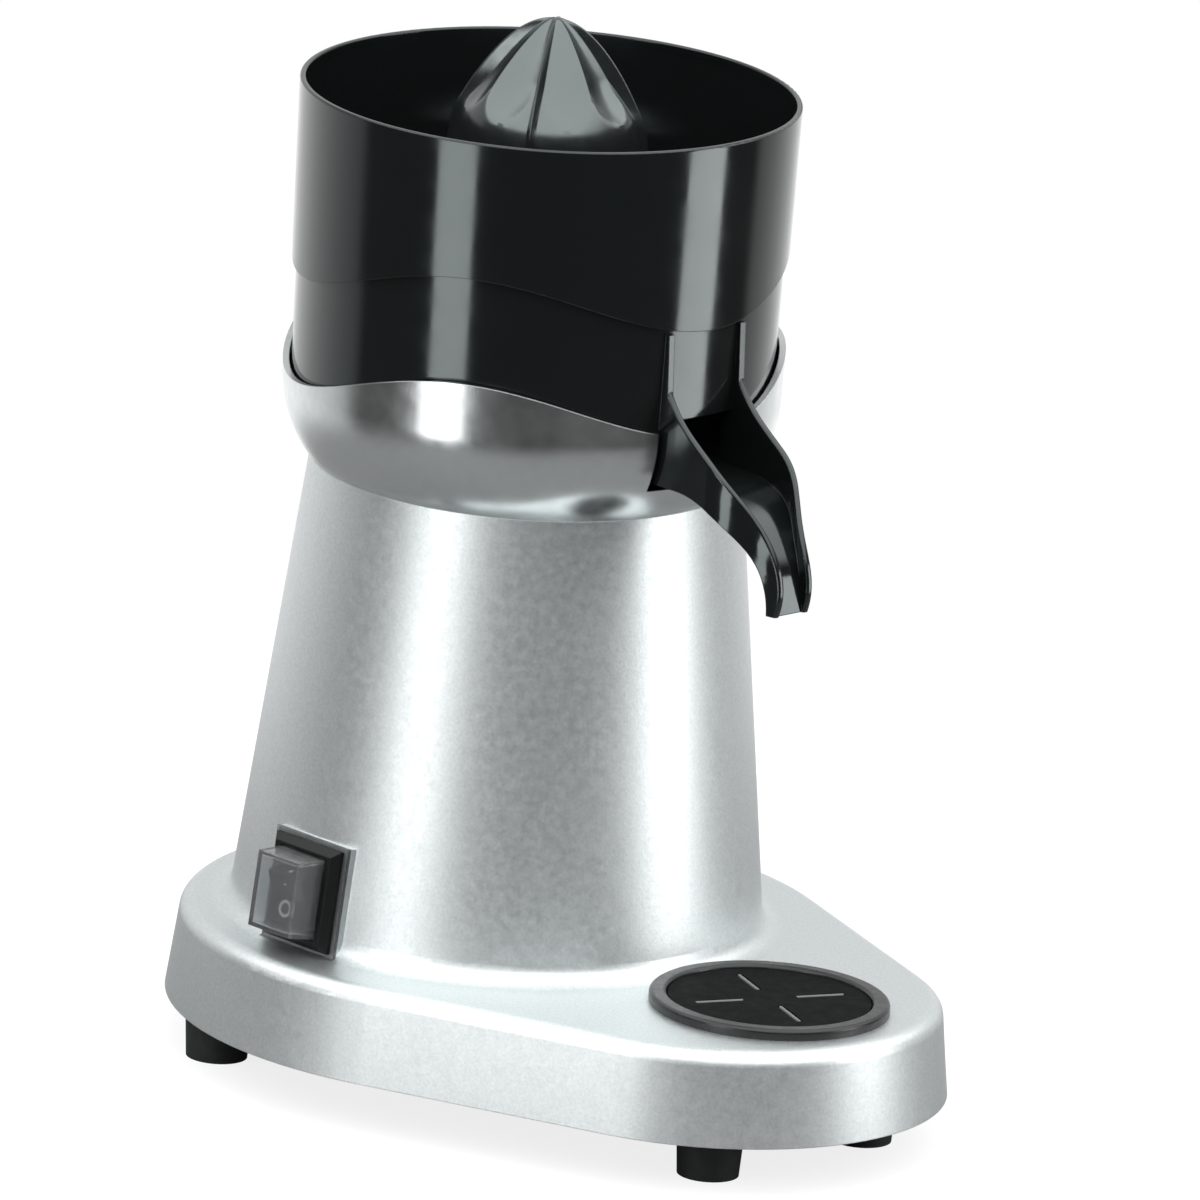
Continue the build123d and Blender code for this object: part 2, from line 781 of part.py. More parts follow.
def reamer_insert():
    top = insert_base + insert_height
    slot_top = insert_base + pin_seat + pin_radius + pin_play
    body = rod(insert_radius, insert_base, top)
    body -= rod(shaft_radius + running_clearance, insert_base - overrun, top - insert_roof)
    width = 2 * (pin_radius + pin_play)
    return body - block(2 * (insert_radius + overrun), width, insert_base - overrun, slot_top)


# Drive line

def drive_shaft():
    body = rod(shaft_radius, shaft_foot, shaft_top)
    body = chamfer(body.faces().sort_by(Axis.Z)[-1].edges(), shaft_tip_gap)
    cross = Rot(0, 90, 0) * rod(pin_radius, -insert_radius, insert_radius)
    return body - Pos(0, 0, insert_base + pin_seat) * cross


def drive_pin():
    pin = rod(pin_radius - fit_clearance, -pin_half_length, pin_half_length)
    return Pos(0, 0, insert_base + pin_seat) * Rot(0, 90, 0) * pin


def rotor():
    return ring(stator_bore_radius - air_gap, shaft_radius + fit_clearance, stator_base, stator_top)


def fan():
    low = fan_top - fan_height
    blade = block(fan_radius - fan_hub_radius + fan_blade, fan_blade, low, fan_top - fan_disc / 2,
                  (fan_radius + fan_hub_radius - fan_blade) / 2)
    body = rod(fan_hub_radius, low, fan_top) + rod(fan_radius, fan_top - fan_disc, fan_top)
    body += polar(blade, fan_blade_count)
    return body - rod(shaft_radius + fit_clearance, low - overrun, fan_top + overrun)


# Motor

def tie_holes(low, high):
    return polar(rod(screw_radius + hole_clearance, low, high, tie_circle), tie_count)


def upper_end_shield():
    body = rod(shield_radius, stator_top, shoulder)
    body -= rod(shield_radius - shield_skirt_wall, stator_top - overrun, upper_winding)
    body -= rod(bearing_radius + fit_clearance, stator_top, shoulder + overrun)
    body -= tie_holes(stator_top - overrun, shoulder - overrun)
    hole = rod(screw_radius + fit_clearance, upper_winding - overrun, shoulder + overrun)
    return body - polar(Pos(motor_screw_circle, 0, 0) * hole, tie_count, motor_screw_turn)


def lower_end_shield():
    low = lower_shield - shield_disc
    body = rod(shield_radius, low, stator_base)
    body -= rod(shield_radius - shield_skirt_wall, lower_shield, stator_base + overrun)
    body -= rod(bearing_radius + fit_clearance, low - overrun, stator_base)
    return body - tie_holes(low - overrun, stator_base + overrun)


def bearing(low):
    middle = (bearing_radius + shaft_radius) / 2
    body = ring(bearing_radius, shaft_radius + running_clearance, low, low + bearing_width)
    half = bearing_land / 2
    for z in (low, low + bearing_width):
        body -= ring(middle + half, middle - half, z - bearing_groove, z + bearing_groove)
    return body


def stator_core():
    body = ring(shield_radius, stator_bore_radius, stator_base, stator_top)
    return body - tie_holes(stator_base - overrun, stator_top + overrun)


def stator_winding():
    lower = ring(winding_outer_radius, winding_inner_radius, lower_shield + slip_clearance, stator_base)
    upper = ring(winding_outer_radius, winding_inner_radius, stator_top, upper_winding - slip_clearance)
    return group([fillet(lower.faces().sort_by(Axis.Z)[0].edges(), winding_round),
                  fillet(upper.faces().sort_by(Axis.Z)[-1].edges(), winding_round)])


def motor_tie_bolts():
    low = lower_shield - shield_disc - screw_head_height
    return group(polar(screw(low, shoulder - overrun - slip_clearance, tie_circle), tie_count))


def motor_screws():
    low = upper_winding + slip_clearance
    one = screw(low, plate_top + screw_head_height, motor_screw_circle, head_up=True)
    return group(polar(one, tie_count, motor_screw_turn))


def seal_holder():
    low = plate_top - casting_wall
    top = plate_top + holder_height
    body = rod(holder_radius, plate_top, top) + rod(plate_bore_radius - hole_clearance, low, plate_top)
    body -= rod(shaft_radius + slip_clearance, low - overrun, top)
    return body - rod(seal_radius + fit_clearance, seal_base, top + overrun)


def shaft_seal():
    return ring(seal_radius, shaft_radius + running_clearance, seal_base, seal_base + seal_height)


# Electrics

def run_capacitor():
    low = foot_clearance + cover_sheet
    high = low + capacitor_height
    body = rod(capacitor_radius, low, high, capacitor_x, capacitor_y)
    crimp_top = high - 2 * capacitor_crimp
    crimp_low = crimp_top - capacitor_crimp
    body -= ring(capacitor_radius + overrun, capacitor_radius - capacitor_crimp, crimp_low, crimp_top,
                 capacitor_x, capacitor_y)
    blade = block(blade_thickness, blade_width, high, high + blade_length, capacitor_x, capacitor_y)
    return body + Pos(blade_spacing / 2, 0, 0) * blade + Pos(-blade_spacing / 2, 0, 0) * blade


def capacitor_clip():
    low = foot_clearance + cover_sheet
    inner = capacitor_radius + fit_clearance
    body = ring(inner + clip_sheet, inner, low, low + clip_height, capacitor_x, capacitor_y)
    return body - block(2 * clip_gap_half, 2 * capacitor_radius, low - overrun, low + clip_height + overrun,
                        capacitor_x, capacitor_y + capacitor_radius)


def terminal_block():
    low = foot_clearance + cover_sheet
    high = low + terminal_height
    body = block(terminal_length, terminal_width, low, high, terminal_x, terminal_y)
    for side in (-1, 1):
        y = terminal_y + side * (terminal_width - terminal_step) / 2
        step_low = high - terminal_step
        body -= block(terminal_length + overrun, terminal_step, step_low, high + overrun, terminal_x, y)
    pitch = terminal_length / terminal_pole_count
    for i in range(terminal_pole_count):
        x = terminal_x + (i - (terminal_pole_count - 1) / 2) * pitch
        body -= rod(terminal_hole_radius, high - terminal_step, high + overrun, x, terminal_y)
    return body


def gland_frame():
    return Pos(0, 0, gland_z) * Rot(-90, 0, 0)


def cable_gland():
    collar_top = gland_pad_reach + gland_collar
    hexagon = Pos(0, 0, gland_pad_reach) * extrude(RegularPolygon(gland_hex_radius, 6), gland_collar)
    dome_top = collar_top + gland_dome
    tail = gland_pad_reach - gland_tail
    dome = turned_polygon((0, collar_top), (gland_thread_radius + gland_bore_radius / 2, collar_top),
                          (gland_bore_radius + clip_sheet, dome_top), (0, dome_top))
    body = hexagon + dome + rod(gland_thread_radius, tail, gland_pad_reach)
    body -= rod(gland_bore_radius, tail - overrun, dome_top + overrun)
    return gland_frame() * body


def gland_nut():
    low = gland_pad_root - gland_nut_height
    body = Pos(0, 0, low) * extrude(RegularPolygon(gland_hex_radius, 6), gland_nut_height)
    body -= rod(gland_thread_radius + fit_clearance, low - overrun, gland_pad_root + overrun)
    return gland_frame() * body


def earth_stud():
    roof = foot_top - casting_wall
    stud = rod(earth_radius, roof - earth_length, roof + earth_bite, earth_x, earth_y)
    nut = extrude(RegularPolygon(earth_nut_radius, 6), earth_nut_height)
    return stud + Pos(earth_x, earth_y, roof - earth_nut_height) * nut


# Switch

def switch_flange():
    low = switch_pad
    plate = block(switch_flange_height, switch_flange_width, low, low + switch_gasket)
    plate -= block(body_height + 2 * body_gap, body_width + 2 * body_gap, low - overrun,
                   low + switch_gasket + overrun)
    return switch_frame() * plate


def switch_bezel():
    low = switch_pad + switch_gasket
    frame = block(bezel_height, bezel_width, low, low + bezel_depth)
    frame = chamfer(frame.faces().sort_by(Axis.Z)[-1].edges(), bezel_bevel)
    frame -= block(window_height, window_width, low - overrun, low + bezel_depth + overrun)
    return switch_frame() * frame


def switch_body():
    top = switch_pad + switch_gasket
    low = top - body_depth
    body = block(body_height, body_width, low, top)
    body -= block(well_length, well_width, top - well_depth, top + overrun)
    axle = Rot(90, 0, 0) * rod(key_axle_radius + running_clearance, -key_axle_half, key_axle_half)
    body -= Pos(0, 0, top - key_pivot) * axle
    for i in (-1, 0, 1):
        body += block(blade_thickness, blade_width, low - blade_length, low, i * blade_spacing)
    return switch_frame() * body


def switch_cap():
    low = switch_pad + switch_gasket
    high = low + bezel_depth + cap_height
    outer = Pos(0, 0, low) * extrude(Rectangle(cap_length, cap_width), high - low, taper=cap_taper)
    mouth = Rectangle(cap_length - 2 * cap_wall, cap_width - 2 * cap_wall)
    inner = extrude(mouth, high - low - cap_wall + overrun, taper=cap_taper)
    return switch_frame() * (outer - Pos(0, 0, low - overrun) * inner)


def switch_rocker():
    top = switch_pad + switch_gasket
    pivot = top - key_pivot
    half = key_length / 2
    outline = make_face(Polyline((-half, -key_root), (half, -key_root), (half, 0),
                                 (half - key_lead, key_height), (0, key_height - key_dish),
                                 (key_lead - half, key_height), (-half, 0), close=True))
    key = extrude(Plane.XZ * outline, key_width / 2, both=True)
    axle_half = key_axle_half - running_clearance
    key += Rot(90, 0, 0) * rod(key_axle_radius, -axle_half, axle_half)
    return switch_frame() * Pos(0, 0, pivot) * Rot(0, -key_tilt, 0) * key


def write(name, shape):
    export_step(Pos(0, column_y, 0) * shape, f"parts/{name}.step")


os.makedirs("parts", exist_ok=True)
write("body_casting", body_casting())
write("bottom_cover", bottom_cover())
for name, (x, y) in feet.items():
    write(name, rubber_foot(x, y))
write("foot_screws", foot_screws())
write("drip_tray", drip_tray())
write("drip_grid", drip_grid())
write("bowl_collar", bowl_collar())
write("collar_screws", collar_screws())
write("bowl_gasket", bowl_gasket())
write("bowl", bowl())
write("bowl_sleeve", bowl_sleeve())
write("strainer", strainer())
write("reamer", reamer())
write("reamer_hub", reamer_hub())
write("reamer_insert", reamer_insert())
write("drive_shaft", drive_shaft())
write("drive_pin", drive_pin())
write("rotor", rotor())
write("cooling_fan", fan())
write("upper_end_shield", upper_end_shield())
write("lower_end_shield", lower_end_shield())
write("upper_bearing", bearing(upper_winding))
write("lower_bearing", bearing(lower_shield - bearing_width))
write("stator_core", stator_core())
write("stator_winding", stator_winding())
write("motor_tie_bolts", motor_tie_bolts())
write("motor_screws", motor_screws())
write("seal_holder", seal_holder())
write("shaft_seal", shaft_seal())
write("run_capacitor", run_capacitor())
write("capacitor_clip", capacitor_clip())
write("terminal_block", terminal_block())
write("cable_gland", cable_gland())
write("gland_nut", gland_nut())
write("earth_stud", earth_stud())
write("switch_flange", switch_flange())
write("switch_bezel", switch_bezel())
write("switch_body", switch_body())
write("switch_cap", switch_cap())
write("switch_rocker", switch_rocker())
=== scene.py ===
import bpy
import json
import math
from mathutils import Matrix, Vector
from mathutils.bvhtree import BVHTree


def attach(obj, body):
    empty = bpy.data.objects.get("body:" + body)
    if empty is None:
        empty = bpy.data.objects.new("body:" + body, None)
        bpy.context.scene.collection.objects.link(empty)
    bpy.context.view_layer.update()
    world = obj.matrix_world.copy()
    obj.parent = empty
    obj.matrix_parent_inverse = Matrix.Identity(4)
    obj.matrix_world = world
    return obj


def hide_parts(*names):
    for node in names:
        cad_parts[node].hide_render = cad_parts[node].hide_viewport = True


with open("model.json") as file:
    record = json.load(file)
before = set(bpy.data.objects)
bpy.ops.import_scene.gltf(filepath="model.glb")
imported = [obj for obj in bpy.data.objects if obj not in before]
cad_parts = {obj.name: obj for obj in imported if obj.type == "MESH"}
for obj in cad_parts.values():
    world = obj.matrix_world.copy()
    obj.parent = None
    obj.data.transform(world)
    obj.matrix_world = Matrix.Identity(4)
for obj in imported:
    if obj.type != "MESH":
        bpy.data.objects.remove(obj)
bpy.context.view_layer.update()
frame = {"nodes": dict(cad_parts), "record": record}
nodes = frame["nodes"]
mm = 0.001
motorY = 34.0 * mm  # the motor's axis stands here
print("frame loaded:", len(nodes), "nodes")


# Materials

surface = dict(toneDetail=3.0, roughDetail=4.0, grainDetail=4.0, noiseLow=0.3, noiseHigh=0.7,
               edge=0.0004, edgeSamples=4)


def nodeOf(tree, kind, **values):
    node = tree.nodes.new(kind)
    for name, value in values.items():
        if name in node.inputs:
            node.inputs[name].default_value = value
        else:
            setattr(node, name, value)
    return node


def startMaterial(name, settings):
    material = bpy.data.materials.new(name)
    material.use_nodes = True
    tree = material.node_tree
    shader = tree.nodes["Principled BSDF"]
    shader.inputs["Base Color"].default_value = (*settings["colour"], 1.0)
    shader.inputs["Roughness"].default_value = settings["roughness"]
    shader.inputs["Metallic"].default_value = settings.get("metallic", 0.0)
    shader.inputs["IOR"].default_value = settings.get("ior", 1.5)
    shader.inputs["Transmission Weight"].default_value = settings.get("transmission", 0.0)
    shader.inputs["Specular Tint"].default_value = (*settings.get("sheen", (1.0, 1.0, 1.0)), 1.0)
    place = nodeOf(tree, "ShaderNodeTexCoord")
    return material, tree, shader, place.outputs["Object"]


def spread(tree, place, scale, detail, low, high):
    # a noise brought into the range low..high
    noise = nodeOf(tree, "ShaderNodeTexNoise", Scale=scale, Detail=detail)
    tree.links.new(place, noise.inputs["Vector"])
    ramp = nodeOf(tree, "ShaderNodeMapRange")
    ramp.inputs["From Min"].default_value = surface["noiseLow"]
    ramp.inputs["From Max"].default_value = surface["noiseHigh"]
    ramp.inputs["To Min"].default_value = low
    ramp.inputs["To Max"].default_value = high
    tree.links.new(noise.outputs["Fac"], ramp.inputs["Value"])
    return ramp.outputs["Result"]


def shade(tree, place, shader, colour, scale, change):
    # slow change of tone over the surface
    tone = spread(tree, place, scale, surface["toneDetail"], 1.0 - change, 1.0 + change)
    mix = nodeOf(tree, "ShaderNodeVectorMath", operation="SCALE")
    mix.inputs[0].default_value = colour
    tree.links.new(tone, mix.inputs["Scale"])
    tree.links.new(mix.outputs["Vector"], shader.inputs["Base Color"])


def grain(tree, place, shader, scale, strength, depth, edge):
    # fine relief over edges that are broken by a small radius
    noise = nodeOf(tree, "ShaderNodeTexNoise", Scale=scale, Detail=surface["grainDetail"])
    tree.links.new(place, noise.inputs["Vector"])
    bump = nodeOf(tree, "ShaderNodeBump", Strength=strength, Distance=depth)
    soft = nodeOf(tree, "ShaderNodeBevel", Radius=edge, samples=surface["edgeSamples"])
    tree.links.new(soft.outputs["Normal"], bump.inputs["Normal"])
    tree.links.new(noise.outputs["Fac"], bump.inputs["Height"])
    tree.links.new(bump.outputs["Normal"], shader.inputs["Normal"])


def surfaceMaterial(name, settings):
    material, tree, shader, place = startMaterial(name, settings)
    if "toneChange" in settings:
        shade(tree, place, shader, settings["colour"], settings["toneScale"], settings["toneChange"])
    if "roughChange" in settings:
        low = settings["roughness"] - settings["roughChange"]
        high = settings["roughness"] + settings["roughChange"]
        value = spread(tree, place, settings["roughScale"], surface["roughDetail"], low, high)
        tree.links.new(value, shader.inputs["Roughness"])
    if "grainScale" in settings:
        grain(tree, place, shader, settings["grainScale"], settings["grainStrength"],
              settings["grainDepth"], settings.get("edge", surface["edge"]))
    return material


finishes = {
    "blastedAluminium": dict(
        colour=(0.655, 0.689, 0.691), metallic=1.0, roughness=0.45, roughChange=0.03, roughScale=420,
        toneChange=0.07, toneScale=1100, grainScale=1500, grainStrength=0.14, grainDepth=0.0002),
    "polishedAluminium": dict(
        colour=(0.61, 0.64, 0.642), metallic=1.0, roughness=0.22, roughChange=0.03, roughScale=160,
        toneChange=0.03, toneScale=350, grainScale=1900, grainStrength=0.04, grainDepth=0.0001),
    "glossBlack": dict(
        colour=(0.006, 0.0076, 0.0074), ior=1.56, sheen=(0.9, 1.0, 1.0), roughness=0.12,
        roughChange=0.025, roughScale=90, grainScale=500, grainStrength=0.015, grainDepth=0.0002),
    "reamerBlack": dict(
        colour=(0.012, 0.0138, 0.0138), ior=2.02, sheen=(0.89, 1.0, 1.0), roughness=0.21,
        roughChange=0.04, roughScale=240, grainScale=900, grainStrength=0.05, grainDepth=0.0001),
    "satinGrey": dict(
        colour=(0.006, 0.0068, 0.007), roughness=0.31, roughChange=0.06, roughScale=380, toneChange=0.1,
        toneScale=700, grainScale=1600, grainStrength=0.16, grainDepth=0.0002),
    "deepBlack": dict(
        colour=(0.002, 0.0025, 0.0025), ior=1.16, roughness=0.7, roughChange=0.06, roughScale=300,
        grainScale=1300, grainStrength=0.08, grainDepth=0.0001),
    "barGrey": dict(
        colour=(0.125, 0.132, 0.132), roughness=0.5, roughChange=0.06, roughScale=500, grainScale=1600,
        grainStrength=0.06, grainDepth=0.0001),
    "markWhite": dict(
        colour=(0.62, 0.64, 0.64), roughness=0.55, roughChange=0.05, roughScale=900, toneChange=0.05,
        toneScale=1200),
    "rubberBlack": dict(
        colour=(0.0105, 0.0128, 0.0124), roughness=0.66, roughChange=0.08, roughScale=260,
        toneChange=0.15, toneScale=420, grainScale=900, grainStrength=0.2, grainDepth=0.0002),
    "switchBlack": dict(
        colour=(0.004, 0.0052, 0.005), ior=1.36, roughness=0.36, roughChange=0.05, roughScale=500,
        grainScale=2000, grainStrength=0.06, grainDepth=0.0001),
    "clearPlastic": dict(
        colour=(0.72, 0.74, 0.75), roughness=0.11, transmission=0.92, ior=1.42, roughChange=0.03,
        roughScale=300, grainScale=700, grainStrength=0.03, grainDepth=0.0001, edge=0.0009),
    "groundSteel": dict(
        colour=(0.62, 0.63, 0.64), metallic=1.0, roughness=0.24, roughChange=0.05, roughScale=700,
        grainScale=2400, grainStrength=0.05, grainDepth=0.0001),
    "brushedSteel": dict(
        colour=(0.6, 0.61, 0.62), metallic=1.0, roughness=0.32, roughChange=0.06, roughScale=900,
        grainScale=1800, grainStrength=0.08, grainDepth=0.0001),
    "zincSteel": dict(
        colour=(0.58, 0.59, 0.6), metallic=1.0, roughness=0.36, roughChange=0.07, roughScale=500,
        toneChange=0.06, toneScale=260, grainScale=1500, grainStrength=0.06, grainDepth=0.0001),
    "castAluminium": dict(
        colour=(0.6, 0.61, 0.62), metallic=1.0, roughness=0.52, roughChange=0.06, roughScale=300,
        toneChange=0.08, toneScale=300, grainScale=700, grainStrength=0.2, grainDepth=0.0003),
    "laminations": dict(
        colour=(0.22, 0.22, 0.23), metallic=0.9, roughness=0.48, roughChange=0.08, roughScale=400,
        toneChange=0.15, toneScale=500),
    "enamelCopper": dict(
        colour=(0.55, 0.24, 0.1), metallic=0.85, roughness=0.36, roughChange=0.06, roughScale=600,
        toneChange=0.12, toneScale=800, grainScale=1200, grainStrength=0.25, grainDepth=0.0004),
    "naturalPlastic": dict(
        colour=(0.52, 0.51, 0.46), roughness=0.5, roughChange=0.06, roughScale=300, toneChange=0.04,
        toneScale=200, grainScale=1000, grainStrength=0.08, grainDepth=0.0001),
    "nylonBlack": dict(
        colour=(0.01, 0.0105, 0.0105), roughness=0.5, roughChange=0.06, roughScale=420, toneChange=0.1,
        toneScale=500, grainScale=1400, grainStrength=0.12, grainDepth=0.0001),
}
made = {name: surfaceMaterial(name, settings) for name, settings in finishes.items()}
slotFinish = {
    "cast_aluminium": "blastedAluminium",
    "polished_aluminium": "polishedAluminium",
    "bowl_plastic": "glossBlack",
    "reamer_plastic": "reamerBlack",
    "strainer_steel": "brushedSteel",
    "tray_plastic": "satinGrey",
    "grid_plastic": "deepBlack",
    "black_rubber": "rubberBlack",
    "switch_plastic": "switchBlack",
    "key_plastic": "switchBlack",
    "clear_plastic": "clearPlastic",
    "bright_steel": "groundSteel",
    "plated_steel": "zincSteel",
    "motor_aluminium": "castAluminium",
    "lamination_steel": "laminations",
    "winding_copper": "enamelCopper",
    "inner_plastic": "naturalPlastic",
    "gland_plastic": "nylonBlack",
}
for row in frame["record"]["subparts"]:
    mesh = nodes[row["node"]].data
    mesh.materials.clear()
    mesh.materials.append(made[slotFinish[row["material_slot"]]])
print("materials made:", len(made))


# Shapes copied round an axis

def newTree(name, result, kinds):
    tree = bpy.data.node_groups.new(name, "GeometryNodeTree")
    tree.interface.new_socket(result, in_out="OUTPUT", socket_type="NodeSocketGeometry")
    for label, kind in kinds.items():
        tree.interface.new_socket(label, in_out="INPUT", socket_type="NodeSocket" + kind)
    return tree, tree.nodes.new("NodeGroupInput").outputs


def linkAll(tree, *pairs):
    for source, target in pairs:
        tree.links.new(source, target)


def copiesRound(tree, given, piece):
    # the piece in equal turns about Z, then tilted and put in its place
    points = tree.nodes.new("GeometryNodePoints")
    index = tree.nodes.new("GeometryNodeInputIndex")
    step = nodeOf(tree, "ShaderNodeMath", operation="DIVIDE")
    step.inputs[0].default_value = 2 * math.pi
    angle = nodeOf(tree, "ShaderNodeMath", operation="MULTIPLY_ADD")
    turn = tree.nodes.new("ShaderNodeCombineXYZ")
    copies = tree.nodes.new("GeometryNodeInstanceOnPoints")
    seat = tree.nodes.new("GeometryNodeTransform")
    real = tree.nodes.new("GeometryNodeRealizeInstances")
    linkAll(tree, (given["Count"], points.inputs["Count"]), (given["Count"], step.inputs[1]),
            (index.outputs["Index"], angle.inputs[0]), (step.outputs["Value"], angle.inputs[1]),
            (given["Turn"], angle.inputs[2]), (angle.outputs["Value"], turn.inputs["Z"]),
            (points.outputs["Points"], copies.inputs["Points"]), (piece, copies.inputs["Instance"]),
            (turn.outputs["Vector"], copies.inputs["Rotation"]),
            (copies.outputs["Instances"], seat.inputs["Geometry"]),
            (given["Place"], seat.inputs["Translation"]), (given["Tilt"], seat.inputs["Rotation"]),
            (seat.outputs["Geometry"], real.inputs["Geometry"]))
    return real.outputs["Geometry"]


def paintTree(tree, given, shape):
    paint = tree.nodes.new("GeometryNodeSetMaterial")
    done = tree.nodes.new("NodeGroupOutput")
    linkAll(tree, (shape, paint.inputs["Geometry"]), (given["Finish"], paint.inputs["Material"]),
            (paint.outputs["Geometry"], done.inputs[0]))
    return tree


def barTree():
    kinds = {"Count": "Int", "Start": "Vector", "End": "Vector", "Width": "Float", "Height": "Float",
             "Round": "Float", "Turn": "Float", "Place": "Vector", "Tilt": "Vector", "Finish": "Material"}
    tree, given = newTree("barsAround", "Bars", kinds)
    line = tree.nodes.new("GeometryNodeCurvePrimitiveLine")
    outline = tree.nodes.new("GeometryNodeCurvePrimitiveQuadrilateral")
    corners = nodeOf(tree, "GeometryNodeFilletCurve", mode="POLY", Count=3)
    bar = tree.nodes.new("GeometryNodeCurveToMesh")
    bar.inputs["Fill Caps"].default_value = True
    linkAll(tree, (given["Start"], line.inputs["Start"]), (given["End"], line.inputs["End"]),
            (given["Width"], outline.inputs["Width"]), (given["Height"], outline.inputs["Height"]),
            (outline.outputs["Curve"], corners.inputs["Curve"]), (given["Round"], corners.inputs["Radius"]),
            (line.outputs["Curve"], bar.inputs["Curve"]),
            (corners.outputs["Curve"], bar.inputs["Profile Curve"]))
    return paintTree(tree, given, copiesRound(tree, given, bar.outputs["Mesh"]))


def bakeTree(name, tree, values, body, start=None):
    holder = bpy.data.objects.new(name, start or bpy.data.meshes.new(name))
    bpy.context.collection.objects.link(holder)
    modifier = holder.modifiers.new("rule", "NODES")
    modifier.node_group = tree
    for socket in tree.interface.items_tree:
        if socket.in_out == "INPUT" and socket.name in values:
            modifier[socket.identifier] = values[socket.name]
    graph = bpy.context.evaluated_depsgraph_get()
    mesh = bpy.data.meshes.new_from_object(holder.evaluated_get(graph), depsgraph=graph)
    holder.modifiers.remove(modifier)
    holder.data = mesh
    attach(holder, body)
    print(name, len(mesh.polygons), "faces")
    return holder


gridBars = {
    "Count": 4, "Start": (8.4 * mm, 0.0, 0.0), "End": (23.1 * mm, 0.0, 0.0), "Width": 1.0 * mm,
    "Height": 1.1 * mm, "Round": 0.3 * mm, "Turn": math.radians(-22.0),
    "Place": (0.0, -80.5 * mm, 44.6 * mm), "Tilt": (0.0, 0.0, 0.0), "Finish": made["barGrey"],
}
glandRibs = {
    "Count": 16, "Start": (9.2 * mm, 0.0, 82.9 * mm), "End": (6.3 * mm, 0.0, 87.4 * mm),
    "Width": 1.2 * mm, "Height": 1.1 * mm, "Round": 0.3 * mm, "Turn": 0.0,
    "Place": (0.0, motorY, 62.8 * mm), "Tilt": (math.radians(-90.0), 0.0, 0.0), "Finish": made["nylonBlack"],
}
bars = barTree()
bakeTree("gridBars", bars, gridBars, "drip_grid")
bakeTree("glandRibs", bars, glandRibs, "housing")
print("bars made")


# Ribbed cone: one quarter from fin to fin, copied round the axis

cone = dict(
    apex=311.75, tip=311.58, fall=54.0, spread=38.5, shoulder=284.5, ease=4.0, draft=0.06, foot=262.0,
    finHalf=1.35, finRoot=0.11, dome=0.92, domeLoss=0.24, ridgeLoss=0.04, scoop=0.14, scoopTurn=295.0,
    scoopEnd=284.5, fins=4, turn=-56.0, columns=18, upperRows=44, lowerRows=20, finMid=0.55,
    finMidDepth=0.62, finTaper=0.35, finLeast=0.02, leanMost=0.5, smoothAngle=24.0, weld=0.004)
coneFoot = (  # height, radius, evenness
    (260.6, 31.9, 0.4), (259.3, 33.2, 0.75), (258.4, 35.4, 1.0), (257.9, 38.4, 1.0), (257.7, 39.1, 1.0),
    (257.2, 39.5, 1.0), (251.6, 39.5, 1.0), (251.3, 39.2, 1.0), (251.3, 36.5, 1.0), (254.8, 36.5, 1.0),
    (257.8, 28.6, 1.0), (264.3, 23.0, 1.0), (241.8, 23.0, 1.0), (241.8, 20.5, 1.0), (254.8, 20.5, 1.0),
    (254.8, 12.0, 1.0), (241.8, 12.0, 1.0), (241.8, 9.05, 1.0), (263.8, 9.05, 1.0))


def clampUnit(value):
    return max(0.0, min(1.0, value))


def coneCrest(z):
    if z >= cone["shoulder"]:
        return cone["spread"] * math.sqrt((cone["apex"] - z) / cone["fall"])
    drop = cone["shoulder"] - z
    slope = cone["spread"] ** 2 / (2 * cone["fall"] * coneCrest(cone["shoulder"]))
    flare = slope * cone["ease"] * (1 - math.exp(-drop / cone["ease"]))
    return coneCrest(cone["shoulder"]) + flare + cone["draft"] * drop


def coneRow(z):
    # angle from the fin and radius, from one fin to the next
    crest = coneCrest(z)
    low = clampUnit((cone["apex"] - z) / (cone["apex"] - cone["shoulder"]))
    end = clampUnit((cone["scoopTurn"] - z) / (cone["scoopTurn"] - cone["scoopEnd"]))
    loss = cone["ridgeLoss"] * (1 - low) ** 3
    dome = cone["dome"] - cone["domeLoss"] * (1 - low) ** 2
    root = crest * (dome - cone["finRoot"] * (1 - end))
    half = math.pi / cone["fins"]
    wide = cone["finHalf"] * max(low, cone["finLeast"]) ** cone["finTaper"]
    lean = math.asin(min(cone["leanMost"], wide / root))
    row = [(0.0, crest), (lean * cone["finMid"], crest + (root - crest) * cone["finMidDepth"])]
    for k in range(cone["columns"] + 1):
        v = k / cone["columns"]
        cut = cone["scoop"] * clampUnit(4 * v * (1 - v) - end * end)
        drop = cone["finRoot"] * (1 - v) ** 2 * (1 - end)
        row.append((lean + (half - lean) * v, crest * (dome - loss * v * v - cut - drop)))
    return row + [(2 * half - angle, radius) for angle, radius in reversed(row[:-1])]


